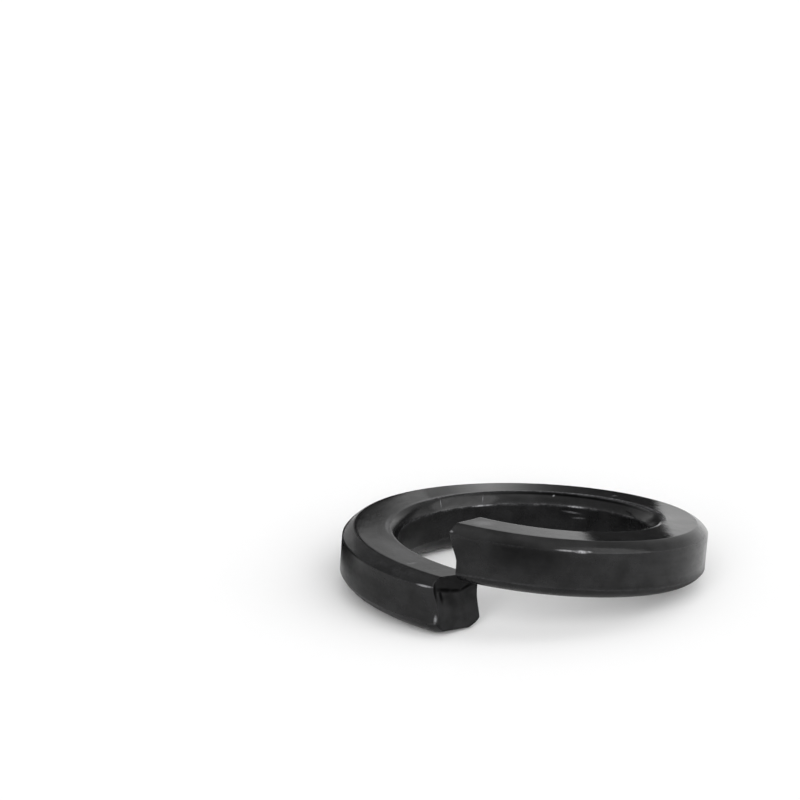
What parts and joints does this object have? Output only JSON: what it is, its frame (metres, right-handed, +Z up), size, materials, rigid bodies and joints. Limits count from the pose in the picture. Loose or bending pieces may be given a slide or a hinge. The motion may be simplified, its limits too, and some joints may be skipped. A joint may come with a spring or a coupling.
{
  "type": "spring lock washer",
  "caption": "Split spring lock washer of square wire, coiled left-handed, with slanted sheared ends that bite to keep a screw from turning loose.",
  "frame": {"origin": "on the floor under the middle of the ring, with the washer lying as it comes to rest", "axes": "+Z up from the floor; -Y towards the viewer, with the gap at front left; the ring's own axis leans about 6 degrees from +Z"},
  "size_m": [0.024, 0.0237, 0.0074],
  "materials": {
    "black_steel": "black oxide on spring steel, satin, slightly worn"
  },
  "bodies": {
    "root": {"washer": "black_steel"}
  },
  "joints": []
}
